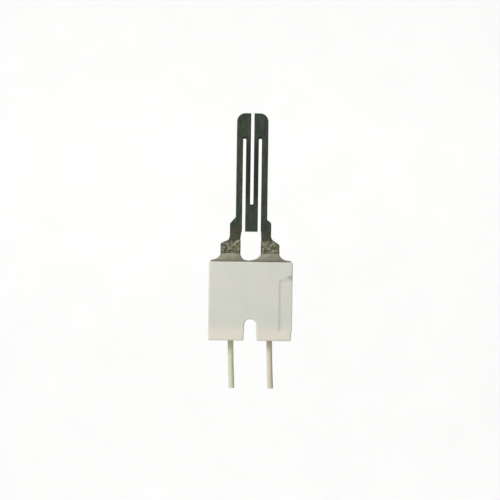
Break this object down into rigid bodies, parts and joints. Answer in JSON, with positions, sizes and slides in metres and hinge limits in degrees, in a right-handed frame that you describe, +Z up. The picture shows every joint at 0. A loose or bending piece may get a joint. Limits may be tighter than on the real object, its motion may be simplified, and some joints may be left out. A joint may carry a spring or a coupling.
{
  "type": "hot surface igniter",
  "caption": "Flat slotted silicon carbide igniter element cemented into a notched white ceramic block, with round braided lead wires out of the foot.",
  "frame": {"origin": "centre of the block's flat back face, which lies against the bracket", "axes": "+Z up along the element to its tip, +Y out of the block's back face, -Y out of its front face with the rebate"},
  "size_m": [0.0318, 0.0111, 0.1046],
  "materials": {
    "steatite": "matt unglazed",
    "silicon_carbide": "fine grained, dark",
    "sprayed_metal": "rough as sprayed",
    "cement": "smooth matt",
    "terminal_metal": "plated",
    "conductor": "nickel plated strands",
    "lead_insulation": "matt",
    "glass_braid": "varnished glass braid"
  },
  "bodies": {
    "root": {"ceramic_block": "steatite", "igniter_element": "silicon_carbide", "potting_cement": "cement", "cement_cap": "cement", "metal_spray_left": "sprayed_metal", "lead_terminal_left": "terminal_metal", "terminal_rivet_left": "terminal_metal", "terminal_washer_left": "terminal_metal", "lead_conductor_left": "conductor", "lead_insulation_left": "lead_insulation", "lead_braid_left": "glass_braid", "metal_spray_right": "sprayed_metal", "lead_terminal_right": "terminal_metal", "terminal_rivet_right": "terminal_metal", "terminal_washer_right": "terminal_metal", "lead_conductor_right": "conductor", "lead_insulation_right": "lead_insulation", "lead_braid_right": "glass_braid"}
  },
  "joints": []
}
